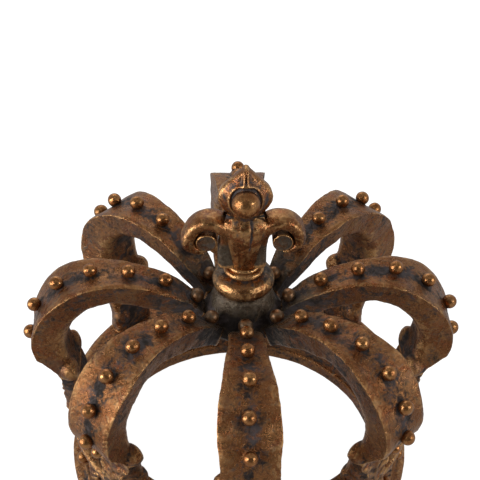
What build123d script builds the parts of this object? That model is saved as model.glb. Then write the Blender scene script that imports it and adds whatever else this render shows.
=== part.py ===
from build123d import *
import os
from math import cos, radians, sin

# Display crown with eight bead-studded arches, a footed circlet and a fleur-de-lis finial.
# Millimetres. Z is up, the origin is the centre of the ring that the crown stands on,
# and the front arch points along -Y.

# ---- circlet -------------------------------------------------------------------------
BAND_INNER_R = 84.0
BAND_OUTER_R = 96.0
WALL_ROUNDING = 0.5
LOWER_RIM_TOP = 9.0
LOWER_RIM_R = (82.8, 104.0)
UPPER_RIM_Z = (39.0, 46.0)
UPPER_RIM_R = (84.0, 104.0)
RIM_ROUNDING = 3.0

BAND_BEAD_R = 4.0
BAND_BEAD_COUNT = 24
BAND_BEAD_RING_R = 99.0
BAND_BEAD_Z = 20.0

LEAF_HALF_WIDTH = 8.4
LEAF_WIDEST = 0.4
LEAF_Z = (10.5, 37.5)
LEAF_OUTER_R = 100.0
LEAF_ROUNDING = 0.4

# ---- arches --------------------------------------------------------------------------
# Length of the blocks that the outlines are cut with: anything longer than the crown is wide.
CUT_REACH = 300.0
OVERLAP = 0.01
ARCH_BLANK_HALF_WIDTH = 26.0
CROWN_CENTRE = (78.5, 102.0)
CROWN_R = 43.8
CROWN_JOIN_ANGLE = 92.5
SHOULDER_R = 78.5
SHOULDER_START_ANGLE = 150.0
TUCK_R = 14.0
TUCK_ANGLE = 42.0
TUCK_SLOPE = 10.5
HEEL_R = 22.0
FOOT_TOP_Z = 78.0
# Inner face of the arch and foot in side view, (distance from the axis, height), hub end first.
INNER_FACE = (
    (12.0, 94.0), (30.0, 112.5), (52.0, 124.8), (76.0, 131.0), (92.0, 124.6), (100.5, 113.0),
    (102.5, 100.0), (100.5, 88.0), (95.5, 75.5), (91.6, 65.0), (90.5, 46.0),
)

# Half-width of the arch against its distance from the axis, up to the widest place.
PLAN_HALF_WIDTH = ((20.0, 8.7), (45.0, 10.1), (66.0, 11.6), (88.0, 15.3), (107.0, 17.8))
# Half-width against height, from the widest place down to the lower end.
FRONT_HALF_WIDTH = ((137.0, 17.8), (122.0, 15.9), (101.0, 16.2), (92.0, 16.8), (86.0, 16.2), (78.0, 15.4))
# Knob at each side of the lower end: (distance from the axis, height), distance from the middle, radius.
KNOB_AT = (101.2, 81.8)
KNOB_OFFSET = 12.2
KNOB_R = 7.3

# The foot is a round shank with a smaller lobe at each side.
SHANK_CENTRE_R = 92.9
SHANK_R = 14.4
LOBE_AT = (94.5, 57.5)
LOBE_OFFSET = 9.4
LOBE_R = 5.9

# ---- beads on the arches ---------------------------------------------------------------
BEAD_R = 4.2
BEAD_PROUD = 3.0
BEAD_COUNT = 7
BEAD_PITCH = 21.9
FIRST_BEAD_DISTANCE = 26.6
LAST_BEAD_SINK = 1.2
HEEL_BEAD_R = 3.2
HEEL_BEAD_AT = (117.0, 87.2)

# ---- hub and finial --------------------------------------------------------------------
HUB_R = 24.0
HUB_Z = (112.0, 124.0)
HUB_CHAMFER = (3.0, 2.0)
BOSS_FLARE = (1.0, 4.0)
BOSS_R = 16.0
BOSS_TOP = 136.0
STUD_R = 3.0
STUD_Z = (101.0, 182.0)
NUT_ACROSS_FLATS = 10.0
NUT_HEIGHT = 5.0
WASHER_R = 9.0
WASHER_HEIGHT = 1.5
LOWER_COLLAR_R = 17.6
MIDDLE_COLLAR_R = 10.8
UPPER_COLLAR_R = 9.4
COLLAR_Z = (136.0, 148.0, 152.2, 155.0)
COLLAR_ROUNDING = 0.45

STEM_HALF = 4.5
STEM_TOP = 188.0
PETAL_DEPTH = 5.0
PETAL_Z = (155.0, 186.0)
PETAL_HALF_WIDTH = (7.4, 9.6)

# Side petal: a shank up the stem, a half-round crest, a bar down its outside and a rolled end.
SCROLL_HALF_DEPTH = 6.5
ROLL_CENTRE = (21.4, 172.6)
ROLL_R = 5.8
CREST_Z = 176.4
SCROLL_OUTER_R = 13.2
SCROLL_INNER_R = 7.0
SCROLL_SHANK_WIDTH = 7.2
SCROLL_SHANK_TOP = 184.0
SHANK_TO_CREST = (2.0, 4.0)
OUTER_BAR_Z = 170.0
OUTER_BAR_TAPER = 1.0
ROLL_NECK = 3.0
ROLL_NECK_DROP = 0.95

BUD_HALF_WIDTH = 16.5
BUD_WIDE_Z = 202.0
BUD_TIP_Z = 221.5
BUD_BASE_Z = 184.5
BUD_HALF_DEPTH = 9.0
BUD_FACE_R = 34.0
PEARL_R = 7.8
PEARL_Y = 9.5
PEARL_Z = 203.5

SIDES = (
    ("front", 0), ("front_right", 45), ("right", 90), ("back_right", 135),
    ("back", 180), ("back_left", 225), ("left", 270), ("front_left", 315),
)


# ---- helpers ---------------------------------------------------------------------------
def save(name, shape):
    """Writes one sub-part."""
    export_step(shape, f"parts/{name}.step")


def group(solids):
    """Several separate solids in one sub-part."""
    return Compound(children=list(solids))


def facing(azimuth):
    """Turns something made along +X so that it points azimuth degrees round from the front."""
    return Rot(Z=azimuth - 90)


def radial_point(radius, azimuth, height):
    """Place at a distance from the axis, azimuth degrees round from the front."""
    turn = radians(azimuth)
    return Pos(radius * sin(turn), -radius * cos(turn), height)


def turned_ring(inner, outer, bottom, top, rounding):
    """Ring with a rounded rectangular section."""
    section = RectangleRounded(outer - inner, top - bottom, rounding)
    section = Pos((inner + outer) / 2, (bottom + top) / 2) * section
    return revolve(Plane.XZ * section, Axis.Z)


def turned_solid(outline):
    """Solid of revolution from (radius, height) corners."""
    return revolve(Plane.XZ * make_face(Polyline(*outline, close=True)), Axis.Z)


def polar(centre, radius, angle):
    """Point at an angle on a circle."""
    return (centre[0] + radius * cos(radians(angle)), centre[1] + radius * sin(radians(angle)))


# ---- circlet -----------------------------------------------------------------------------
def circlet_band():
    """Wall of the circlet, with a socket for each bead."""
    wall = turned_ring(BAND_INNER_R, BAND_OUTER_R, LOWER_RIM_TOP, UPPER_RIM_Z[0], WALL_ROUNDING)
    for bead in band_bead_list():
        wall -= bead
    return wall


def lower_rim():
    """Moulding that the crown stands on."""
    return turned_ring(*LOWER_RIM_R, 0, LOWER_RIM_TOP, RIM_ROUNDING)


def upper_rim():
    """Moulding on top of the wall, which carries the feet."""
    return turned_ring(*UPPER_RIM_R, *UPPER_RIM_Z, RIM_ROUNDING)


def band_bead_list():
    """Balls all round the middle of the circlet."""
    step = 360 / BAND_BEAD_COUNT
    return [
        radial_point(BAND_BEAD_RING_R, step * i, BAND_BEAD_Z) * Sphere(BAND_BEAD_R)
        for i in range(BAND_BEAD_COUNT)
    ]


def band_leaf_list():
    """Pointed leaf plaques on the circlet, midway between the feet."""
    low, high = LEAF_Z
    middle = low + (high - low) * LEAF_WIDEST
    side = Spline((0, low), (LEAF_HALF_WIDTH, middle), (0, high), tangents=((1, 0.1), (-0.5, 1)))
    outline = make_face([side, mirror(side, Plane.YZ)])
    rounding = (LEAF_OUTER_R - BAND_OUTER_R) * LEAF_ROUNDING
    shell = turned_ring(BAND_OUTER_R, LEAF_OUTER_R, low - rounding, high + rounding, rounding)
    leaf = extrude(Plane.YZ * outline, CUT_REACH) & shell
    return [facing(azimuth + 22.5) * leaf for name, azimuth in SIDES]


# ---- arch --------------------------------------------------------------------------------
def arch_curves(rise):
    """Side view of the arch's outer face, raised by rise, from the hub to the heel."""
    shoulder_centre = polar(CROWN_CENTRE, CROWN_R - SHOULDER_R, CROWN_JOIN_ANGLE)
    tuck_centre = (CROWN_CENTRE[0] + CROWN_R - TUCK_R, CROWN_CENTRE[1])
    slope_start = polar(tuck_centre, TUCK_R, -TUCK_ANGLE)
    slope_end = polar(slope_start, TUCK_SLOPE, -90 - TUCK_ANGLE)
    heel_centre = polar(slope_end, HEEL_R, -TUCK_ANGLE)
    shoulder = CenterArc(shoulder_centre, SHOULDER_R + rise, SHOULDER_START_ANGLE,
                         CROWN_JOIN_ANGLE - SHOULDER_START_ANGLE)
    crown = CenterArc(CROWN_CENTRE, CROWN_R + rise, CROWN_JOIN_ANGLE, -CROWN_JOIN_ANGLE)
    tuck = CenterArc(tuck_centre, TUCK_R + rise, 0, -TUCK_ANGLE)
    slope = Line(polar(slope_start, rise, -TUCK_ANGLE), polar(slope_end, rise, -TUCK_ANGLE))
    heel = CenterArc(heel_centre, HEEL_R - rise, 180 - TUCK_ANGLE, TUCK_ANGLE)
    return [shoulder, crown, tuck, slope, heel]


def arch_blank():
    """Thick slab with the side view of an arch and its foot, standing along +X."""
    outer = arch_curves(0)
    heel = outer[-1] @ 1
    foot_bottom = UPPER_RIM_Z[1]
    closing = [
        Line(outer[0] @ 0, INNER_FACE[0]),
        Spline(*INNER_FACE),
        Line(INNER_FACE[-1], (heel.X, foot_bottom)),
        Line((heel.X, foot_bottom), heel),
    ]
    side_view = make_face(outer + closing)
    return extrude(Plane.XZ * side_view, ARCH_BLANK_HALF_WIDTH, both=True)


def widths_block(stations, ends):
    """Face, symmetric about the first axis, whose half-width passes through the stations."""
    edge = Spline(*stations)
    start, end = stations[0], stations[-1]
    before, after = ends
    half = make_face([
        edge,
        Line((before, 0), (before, start[1])),
        Line((before, start[1]), start),
        Line(end, (end[0], ARCH_BLANK_HALF_WIDTH)),
        Line((end[0], ARCH_BLANK_HALF_WIDTH), (after, ARCH_BLANK_HALF_WIDTH)),
        Line((after, ARCH_BLANK_HALF_WIDTH), (after, 0)),
        Line((after, 0), (before, 0)),
    ])
    return half + mirror(half, Plane.XZ)


def side_pair(place, offset, radius):
    """Two balls, one at each side of the middle plane of an arch."""
    return [Pos(place[0], side * offset, place[1]) * Sphere(radius) for side in (-1, 1)]


def arch_body():
    """One arch along +X, from the hub down to its lower end."""
    plan = widths_block(PLAN_HALF_WIDTH, (0, CUT_REACH))
    front = widths_block(FRONT_HALF_WIDTH[::-1], (FOOT_TOP_Z - OVERLAP, CUT_REACH))
    upright = Plane(origin=(0, 0, 0), x_dir=(0, 0, 1), z_dir=(1, 0, 0))
    outline = extrude(plan, CUT_REACH) & extrude(upright * front, CUT_REACH)
    arch = arch_blank() & (outline + side_pair(KNOB_AT, KNOB_OFFSET, KNOB_R))
    arch -= Pos(0, 0, FOOT_TOP_Z - CUT_REACH / 2) * Box(CUT_REACH, CUT_REACH, CUT_REACH)
    arch -= Cylinder(HUB_R, CUT_REACH * 2)
    for ball in arch_bead_list() + [heel_bead()]:
        arch -= ball
    return arch


def foot_body():
    """Upright that joins one arch to the circlet, with a round lobe at each side."""
    bottom = UPPER_RIM_Z[1]
    height = FOOT_TOP_Z - bottom
    shank = Pos(SHANK_CENTRE_R, 0, bottom + height / 2) * Cylinder(SHANK_R, height)
    return arch_blank() & (shank + side_pair(LOBE_AT, LOBE_OFFSET, LOBE_R))


def arch_bead_list():
    """Balls along the middle of one arch, evenly spaced; the lowest sits deeper."""
    line = Wire(arch_curves(BEAD_PROUD)[:3])
    balls = []
    for i in range(BEAD_COUNT):
        distance = FIRST_BEAD_DISTANCE + i * BEAD_PITCH
        place = line.position_at(distance, position_mode=PositionMode.LENGTH)
        sink = LAST_BEAD_SINK if i == BEAD_COUNT - 1 else 0
        balls.append(Pos(place.X - sink, 0, place.Y) * Sphere(BEAD_R))
    return balls


def heel_bead():
    """Small ball under the lowest bead of an arch."""
    return Pos(HEEL_BEAD_AT[0], 0, HEEL_BEAD_AT[1]) * Sphere(HEEL_BEAD_R)


# ---- hub and fastening ---------------------------------------------------------------------
def hub():
    """Boss in the middle of the arches, bored for the stud."""
    low, high = HUB_Z
    edge_width, edge_height = HUB_CHAMFER
    flare_width, flare_height = BOSS_FLARE
    return turned_solid([
        (STUD_R, low),
        (HUB_R, low),
        (HUB_R, high),
        (HUB_R - edge_width, high + edge_height),
        (BOSS_R + flare_width, high + edge_height + flare_height),
        (BOSS_R, BOSS_TOP),
        (STUD_R, BOSS_TOP),
    ])


def finial_stud():
    """Rod that holds the finial down on the hub."""
    low, high = STUD_Z
    return Pos(0, 0, (low + high) / 2) * Cylinder(STUD_R, high - low)


def hub_washer():
    """Washer under the hub."""
    top = HUB_Z[0]
    ring = Cylinder(WASHER_R, WASHER_HEIGHT) - Cylinder(STUD_R, WASHER_HEIGHT)
    return Pos(0, 0, top - WASHER_HEIGHT / 2) * ring


def hub_nut():
    """Hexagon nut under the washer."""
    top = HUB_Z[0] - WASHER_HEIGHT
    hexagon = RegularPolygon(NUT_ACROSS_FLATS / 2, 6, major_radius=False) - Circle(STUD_R)
    return Pos(0, 0, top - NUT_HEIGHT) * extrude(hexagon, NUT_HEIGHT)


# ---- finial ----------------------------------------------------------------------------------
def collar(radius, level):
    """Turned ring with a rounded edge, stacked on the boss."""
    bottom, top = COLLAR_Z[level], COLLAR_Z[level + 1]
    height = top - bottom
    disc = Cylinder(radius, height)
    disc = fillet(disc.edges().filter_by(GeomType.CIRCLE), height * COLLAR_ROUNDING)
    disc -= Cylinder(STUD_R, height)
    return Pos(0, 0, (bottom + top) / 2) * disc


def finial_stem():
    """Square post that the petals stand against, with a blind hole for the stud."""
    bottom = COLLAR_Z[3]
    height = STEM_TOP - bottom
    post = Pos(0, 0, bottom + height / 2) * Box(2 * STEM_HALF, 2 * STEM_HALF, height)
    return post - finial_stud() - bud()


def flat_petal(side):
    """Petal that climbs the front (side -1) or back (side 1) of the stem."""
    bottom, top = PETAL_Z
    low, high = PETAL_HALF_WIDTH
    outline = make_face(Polyline((-low, bottom), (low, bottom), (high, top), (-high, top), close=True))
    petal = extrude(Plane.XZ * outline, PETAL_DEPTH)
    petal = Pos(0, -STEM_HALF, 0) * petal
    if side > 0:
        petal = mirror(petal, Plane.XZ)
    return petal - bud() - pearl(-1) - pearl(1)


def scroll_petal(side):
    """Side petal: it climbs the stem, arches outwards and curls round to a rolled end."""
    x, z = ROLL_CENTRE
    crest = Pos(x, CREST_Z) * (Circle(SCROLL_OUTER_R) - Circle(SCROLL_INNER_R))
    crest -= Pos(x, CREST_Z - SCROLL_OUTER_R) * Rectangle(4 * SCROLL_OUTER_R, 2 * SCROLL_OUTER_R)
    roll = Pos(x, z) * Circle(ROLL_R)
    outer_bar = make_face(Polyline(
        (x + SCROLL_INNER_R, CREST_Z + OVERLAP),
        (x + SCROLL_OUTER_R, CREST_Z + OVERLAP),
        (x + SCROLL_OUTER_R - OUTER_BAR_TAPER, OUTER_BAR_Z),
        (x + ROLL_NECK, z - ROLL_NECK_DROP * ROLL_R),
        (x + ROLL_NECK, z),
        close=True))
    shank = make_face(Polyline(
        (STEM_HALF, COLLAR_Z[3]),
        (STEM_HALF + SCROLL_SHANK_WIDTH, COLLAR_Z[3]),
        (x - SCROLL_INNER_R, CREST_Z + OVERLAP),
        (x - SCROLL_OUTER_R + SHANK_TO_CREST[0], CREST_Z + SHANK_TO_CREST[1]),
        (STEM_HALF, SCROLL_SHANK_TOP),
        close=True))
    beside_stem = Pos(STEM_HALF + CUT_REACH / 2, 0) * Rectangle(CUT_REACH, CUT_REACH * 2)
    outline = (crest + roll + outer_bar + shank) & beside_stem
    scroll = extrude(Plane.XZ * outline, SCROLL_HALF_DEPTH, both=True)
    scroll -= bud()
    for petal in (flat_petal(-1), flat_petal(1)):
        scroll -= petal
    return scroll if side > 0 else mirror(scroll, Plane.YZ)


def bud():
    """Pointed shield at the top of the finial, thick in the middle and thin at its edge."""
    right = Spline((0, BUD_BASE_Z), (BUD_HALF_WIDTH, BUD_WIDE_Z), (0, BUD_TIP_Z),
                   tangents=((1, 0), (-0.6, 1)))
    outline = make_face([right, mirror(right, Plane.YZ)])
    slab = extrude(Plane.XZ * outline, BUD_HALF_DEPTH, both=True)
    offset = BUD_FACE_R - BUD_HALF_DEPTH
    front_face = Pos(0, offset, BUD_WIDE_Z) * Sphere(BUD_FACE_R)
    back_face = Pos(0, -offset, BUD_WIDE_Z) * Sphere(BUD_FACE_R)
    return (slab & front_face & back_face) - pearl(-1) - pearl(1)


def pearl(side):
    """Ball set in the front (side -1) or back (side 1) of the bud."""
    return Pos(0, side * PEARL_Y, PEARL_Z) * Sphere(PEARL_R)


# ---- writes every sub-part --------------------------------------------------------------------
os.makedirs("parts", exist_ok=True)

save("circlet_band", circlet_band())
save("lower_rim", lower_rim())
save("upper_rim", upper_rim())
save("band_beads", group(band_bead_list()))
save("band_leaves", group(band_leaf_list()))

arch = arch_body()
foot = foot_body()
beads = arch_bead_list()
for side_name, side_azimuth in SIDES:
    save(f"arch_{side_name}", facing(side_azimuth) * arch)
    save(f"foot_{side_name}", facing(side_azimuth) * foot)
    save(f"arch_beads_{side_name}", group([facing(side_azimuth) * ball for ball in beads]))
save("heel_beads", group([facing(azimuth) * heel_bead() for name, azimuth in SIDES]))

save("hub", hub())
save("hub_washer", hub_washer())
save("hub_nut", hub_nut())
save("finial_stud", finial_stud())
save("collar_lower", collar(LOWER_COLLAR_R, 0))
save("collar_middle", collar(MIDDLE_COLLAR_R, 1))
save("collar_upper", collar(UPPER_COLLAR_R, 2))
save("finial_stem", finial_stem())
save("petal_front", flat_petal(-1))
save("petal_back", flat_petal(1))
save("scroll_left", scroll_petal(-1))
save("scroll_right", scroll_petal(1))
save("bud", bud())
save("pearls", group([pearl(-1), pearl(1)]))
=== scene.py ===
from math import ceil, cos, pi, radians, sin

import bpy
import numpy as np
from mathutils import Matrix, Vector


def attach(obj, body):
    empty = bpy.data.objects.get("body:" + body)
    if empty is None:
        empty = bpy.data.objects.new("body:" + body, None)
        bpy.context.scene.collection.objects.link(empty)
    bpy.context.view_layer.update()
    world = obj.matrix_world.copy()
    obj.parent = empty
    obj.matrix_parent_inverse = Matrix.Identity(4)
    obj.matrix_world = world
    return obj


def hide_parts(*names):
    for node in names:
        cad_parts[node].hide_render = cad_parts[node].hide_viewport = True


# Looks of the crown. Shapes are worked out in millimetres and stored in metres. Side views hold
# (distance from the middle, height), and azimuths run from the front towards the right.
MM = 0.001
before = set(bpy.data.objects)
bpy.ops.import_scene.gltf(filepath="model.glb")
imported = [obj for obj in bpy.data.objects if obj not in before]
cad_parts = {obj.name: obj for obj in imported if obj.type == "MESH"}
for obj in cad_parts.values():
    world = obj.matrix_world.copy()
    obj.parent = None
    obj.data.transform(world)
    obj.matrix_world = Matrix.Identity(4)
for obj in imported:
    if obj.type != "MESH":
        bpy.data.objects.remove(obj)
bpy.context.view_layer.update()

SIDES = (
    ("front", 0), ("front_right", 45), ("right", 90), ("back_right", 135),
    ("back", 180), ("back_left", 225), ("left", 270), ("front_left", 315),
)

# ---- sizes shared with the CAD model, in millimetres -----------------
CROWN_CENTRE = (78.5, 102.0)
CROWN_R = 43.8
CROWN_JOIN_ANGLE = 92.5
SHOULDER_R = 78.5
SHOULDER_START_ANGLE = 150.0
TUCK_R = 14.0
TUCK_ANGLE = 42.0
TUCK_SLOPE = 10.5
HEEL_R = 22.0
BEAD_R = 4.2
BEAD_PROUD = 3.0
LAST_BEAD_PROUD = 1.8
BEAD_COUNT = 7
BEAD_PITCH = 21.9
FIRST_BEAD_DISTANCE = 26.6
FOOT_BOTTOM_Z = 45.0
ROLL_X = 21.4
ROLL_Z = 172.6
PEARL_R = 7.8
PEARL_Y = 9.5
PEARL_Z = 203.5


# ---- noise -----------------------------------------------------------
def lattice(ix, iy, iz, seed):
    """Repeatable random value between -1 and 1 at whole-number points."""
    n = (ix * 73856093) ^ (iy * 19349663) ^ (iz * 83492791) ^ (seed * 40503 + 977)
    n = (n ^ (n >> 13)) * 1274126177
    n = (n ^ (n >> 16)) & 0xFFFFF
    return n / 524287.5 - 1


def noise(points, size, seed=0):
    """Smooth noise between -1 and 1 with features about size across."""
    q = np.asarray(points, float) / size
    cell = np.floor(q).astype(np.int64)
    t = q - cell
    t = t * t * t * (t * (t * 6 - 15) + 10)
    total = np.zeros(len(q))
    for corner in np.ndindex(2, 2, 2):
        share = np.prod(np.where(corner, t, 1 - t), axis=1)
        total += share * lattice(*(cell + corner).T, seed)
    return total


def rough(points, size, seed=0, octaves=3):
    """Noise with finer detail added on top."""
    total, share = 0, 1
    for k in range(octaves):
        total = total + share * noise(points, size / 2 ** k, seed + 31 * k)
        share *= 0.5
    return total / 1.6


def smooth(x, low, high):
    """0 below low, 1 above high, and an S-curve between."""
    t = np.clip((np.asarray(x, float) - low) / (high - low), 0, 1)
    return t * t * (3 - 2 * t)


def bump(x, centre, width):
    """Bell curve of height 1."""
    return np.exp(-(((np.asarray(x, float) - centre) / width) ** 2))


# ---- lines and tables ------------------------------------------------
def distances(line):
    """Distance of each point of a line from its start."""
    return np.concatenate([[0], np.cumsum(np.linalg.norm(np.diff(line, axis=0), axis=1))])


def along(line, at):
    """Points at the given distances along a line, with as many columns as the line has."""
    s = distances(line[:, :2])
    return np.stack([np.interp(at, s, column) for column in line.T], 1)


def side_normals(line):
    """Unit vectors square to a flat line, on its left."""
    tangent = np.gradient(line, axis=0)
    tangent /= np.linalg.norm(tangent, axis=1)[:, None]
    return np.stack([-tangent[:, 1], tangent[:, 0]], 1)


def softened(values, reach):
    """Values smoothed over reach samples to each side, with the ends kept."""
    kernel = np.hanning(2 * reach + 1)
    wide = np.pad(values, reach, "reflect", reflect_type="odd")
    return np.convolve(wide, kernel / kernel.sum(), "valid")


def table_value(x, table):
    """Value at x from a table of (x, value) pairs."""
    return np.interp(x, *np.array(table).T)


# ---- meshes ----------------------------------------------------------
def neighbour_mean(values, edges, degree):
    """Mean of the values at the neighbours of each vertex."""
    a, b = edges[:, 0], edges[:, 1]
    count = len(degree)
    out = [np.bincount(a, values[b, k], count) + np.bincount(b, values[a, k], count)
           for k in range(values.shape[1])]
    return np.stack(out, 1) / degree[:, None]


def outward(points, faces):
    """The faces, turned over if they look into the solid."""
    corners = np.array([[f[0], f[k], f[k + 1]] for f in faces for k in range(1, len(f) - 1)])
    a, b, c = (points[corners[:, k]] for k in range(3))
    if np.einsum("ij,ij->i", a, np.cross(b, c)).sum() < 0:
        return [f[::-1] for f in faces]
    return faces


def piece(name, verts, faces, material, nodes, paint, dents=0.25, pits=0.07, seed=1):
    """A closed mesh, given a cast surface and the vertex values that its material reads.

    dents and pits are the depths of broad and small unevenness in millimetres.
    """
    mesh = bpy.data.meshes.new(name)
    mesh.from_pydata([tuple(v) for v in verts], [], outward(verts, faces))
    mesh.validate()
    mesh.shade_smooth()
    count = len(mesh.vertices)
    co = np.zeros(count * 3, np.float32)
    mesh.vertices.foreach_get("co", co)
    co = co.reshape(-1, 3).astype(float)
    normal = vertex_normals(mesh, count)
    shift = dents * rough(co, 13, seed, 2) + pits * rough(co, 2.6, seed + 7, 2)
    co = co + normal * shift[:, None]
    mesh.vertices.foreach_set("co", (co * MM).astype(np.float32).ravel())
    mesh.update()
    add_value(mesh, "relief", relief_of(mesh, co, vertex_normals(mesh, count)))
    for key in ("grime_and_shade", "rub_and_sheen", "green"):
        add_value(mesh, key, np.broadcast_to(paint.get(key, 0.0), (count,)))
    obj = bpy.data.objects.new(name, mesh)
    bpy.context.scene.collection.objects.link(obj)
    mesh.materials.append(material)
    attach(obj, "root")
    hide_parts(*nodes)


def vertex_normals(mesh, count):
    """Normals of the mesh's points, as an array."""
    normal = np.zeros(count * 3, np.float32)
    mesh.vertex_normals.foreach_get("vector", normal)
    return normal.reshape(-1, 3).astype(float)


RELIEF_REACH = 1.7


def relief_of(mesh, co, normal):
    """Height in millimetres above the surroundings in reach: edges positive, hollows negative."""
    edges = np.zeros(len(mesh.edges) * 2, np.int64)
    mesh.edges.foreach_get("vertices", edges)
    edges = edges.reshape(-1, 2)
    degree = np.maximum(np.bincount(edges.ravel(), minlength=len(co)), 1).astype(float)
    length = np.linalg.norm(co[edges[:, 0]] - co[edges[:, 1]], axis=1).mean()
    rounds = int(min(60, max(4, 2 * (RELIEF_REACH / length) ** 2)))
    soft = co
    for _ in range(rounds):
        soft = 0.5 * soft + 0.5 * neighbour_mean(soft, edges, degree)
    height = ((co - soft) * normal).sum(1)[:, None]
    for _ in range(2):
        height = 0.5 * height + 0.5 * neighbour_mean(height, edges, degree)
    return height[:, 0]


def add_value(mesh, name, values):
    """Stores one number for each point of the mesh."""
    layer = mesh.attributes.new(name, "FLOAT", "POINT")
    layer.data.foreach_set("value", np.ascontiguousarray(values, np.float32))


def ring_faces(rows, columns, closed=False):
    """Faces of a grid of rings; unless its rows close on themselves, fans cap both ends."""
    i, j = np.meshgrid(np.arange(rows if closed else rows - 1), np.arange(columns), indexing="ij")
    i, j = i.ravel(), j.ravel()
    n, k = (i + 1) % rows, (j + 1) % columns
    faces = np.stack([i * columns + j, n * columns + j, n * columns + k, i * columns + k], 1).tolist()
    if not closed:
        last, cap = (rows - 1) * columns, rows * columns
        for j in range(columns):
            k = (j + 1) % columns
            faces.append([j, k, cap])
            faces.append([last + k, last + j, cap + 1])
    return faces


def capped_points(rings):
    """Points of a grid of rings with the two cap centres at the end."""
    flat = rings.reshape(-1, rings.shape[-1])
    return np.concatenate([flat, rings[0].mean(0)[None], rings[-1].mean(0)[None]])


def turn(points, azimuth):
    """Turns points made along +X so that they point azimuth degrees round from the front."""
    a = radians(azimuth - 90)
    x, y, z = points[..., 0], points[..., 1], points[..., 2]
    return np.stack([x * cos(a) - y * sin(a), x * sin(a) + y * cos(a), z], -1)


def ball(radius, rings=18, columns=28, stretch=(1, 1, 1)):
    """Points and faces of a sphere round the origin."""
    lat = np.linspace(-pi / 2, pi / 2, rings + 2)[1:-1]
    lon = np.linspace(0, 2 * pi, columns, endpoint=False)
    la, lo = np.meshgrid(lat, lon, indexing="ij")
    p = np.stack([np.cos(la) * np.cos(lo), np.cos(la) * np.sin(lo), np.sin(la)], -1)
    p = np.concatenate([p.reshape(-1, 3), [[0, 0, -1], [0, 0, 1]]])
    i, j = np.meshgrid(np.arange(rings - 1), np.arange(columns), indexing="ij")
    i, j = i.ravel(), j.ravel()
    k = (j + 1) % columns
    low, high = i * columns, (i + 1) * columns
    faces = np.stack([low + j, low + k, high + k, high + j], 1).tolist()
    south, north = rings * columns, rings * columns + 1
    for j in range(columns):
        k = (j + 1) % columns
        faces.append([k, j, south])
        faces.append([(rings - 1) * columns + j, (rings - 1) * columns + k, north])
    return p * radius * np.array(stretch), faces


def joined(parts):
    """One mesh from several (points, faces) pairs."""
    points, faces, base = [], [], 0
    for p, f in parts:
        points.append(p)
        faces.extend([[v + base for v in face] for face in outward(p, f)])
        base += len(p)
    return np.concatenate(points), faces


def lathe(profile, columns):
    """Closed solid of revolution; the profile is a closed loop of (radius, height) points."""
    profile = np.asarray(profile, float)
    a = np.linspace(0, 2 * pi, columns, endpoint=False)
    r, z = profile[:, 0], profile[:, 1]
    p = np.stack([np.outer(np.sin(a), r), np.outer(-np.cos(a), r), np.tile(z, (columns, 1))], -1)
    return p.reshape(-1, 3), ring_faces(columns, len(profile), closed=True)


def loop(corners, step=0.8, rounds=2):
    """Evenly spaced closed outline through the corners, with its corners softened."""
    p = np.asarray(corners, float)
    q = np.concatenate([p, p[:1]])
    length = distances(q)[-1]
    out = along(q, np.linspace(0, length, int(ceil(length / step)), endpoint=False))
    for _ in range(rounds):
        out = 0.5 * out + 0.25 * (np.roll(out, 1, 0) + np.roll(out, -1, 0))
    return out


# ---- materials -------------------------------------------------------
def fill(node, values):
    """Sets inputs of a shader node by name."""
    for key, value in values.items():
        node.inputs[key].default_value = value


class Nodes:
    """Short ways to add shader nodes to a material."""

    def __init__(self, name):
        self.material = bpy.data.materials.new(name)
        self.material.use_nodes = True
        self.tree = self.material.node_tree
        self.shader = self.tree.nodes["Principled BSDF"]
        self.coords = self.tree.nodes.new("ShaderNodeTexCoord").outputs["Object"]

    def put(self, value, socket):
        if isinstance(value, bpy.types.NodeSocket):
            self.tree.links.new(value, socket)
        else:
            socket.default_value = value

    def noise(self, scale, detail=3, roughness=0.6, distortion=0.0):
        node = self.tree.nodes.new("ShaderNodeTexNoise")
        self.put(self.coords, node.inputs["Vector"])
        fill(node, {"Scale": scale, "Detail": detail, "Roughness": roughness, "Distortion": distortion})
        return node.outputs["Fac"]

    def value(self, name):
        """One of the values stored on the mesh."""
        node = self.tree.nodes.new("ShaderNodeAttribute")
        node.attribute_name = name
        return node.outputs["Fac"]

    def ramp(self, source, low, high, to_low=0.0, to_high=1.0):
        node = self.tree.nodes.new("ShaderNodeMapRange")
        node.interpolation_type = "SMOOTHSTEP"
        self.put(source, node.inputs["Value"])
        fill(node, {"From Min": low, "From Max": high, "To Min": to_low, "To Max": to_high})
        return node.outputs["Result"]

    def math(self, operation, a, b, clamp=False):
        node = self.tree.nodes.new("ShaderNodeMath")
        node.operation = operation
        node.use_clamp = clamp
        self.put(a, node.inputs[0])
        self.put(b, node.inputs[1])
        return node.outputs[0]

    def speckled(self, value, *layers):
        """A value with noise added to it, each layer a (noise, amount up or down) pair."""
        for texture, amount in layers:
            value = self.math("ADD", value, self.ramp(texture, 0.3, 0.7, -amount, amount))
        return value

    def mix(self, factor, a, b):
        node = self.tree.nodes.new("ShaderNodeMix")
        node.data_type = "RGBA"
        self.put(factor, node.inputs[0])
        for value, socket in ((a, node.inputs[6]), (b, node.inputs[7])):
            self.put(value if isinstance(value, bpy.types.NodeSocket) else (*value, 1), socket)
        return node.outputs[2]

    def finish(self, colour, metal, gloss, *layers):
        """Feeds the shader; each layer of bumps is a (height, distance in metres) pair."""
        last = None
        for height, distance in layers:
            node = self.tree.nodes.new("ShaderNodeBump")
            node.inputs["Distance"].default_value = distance
            self.put(height, node.inputs["Height"])
            if last:
                self.put(last, node.inputs["Normal"])
            last = node.outputs["Normal"]
        self.put(last, self.shader.inputs["Normal"])
        self.put(colour, self.shader.inputs["Base Color"])
        self.put(metal, self.shader.inputs["Metallic"])
        self.put(gloss, self.shader.inputs["Roughness"])
        return self.material


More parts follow.
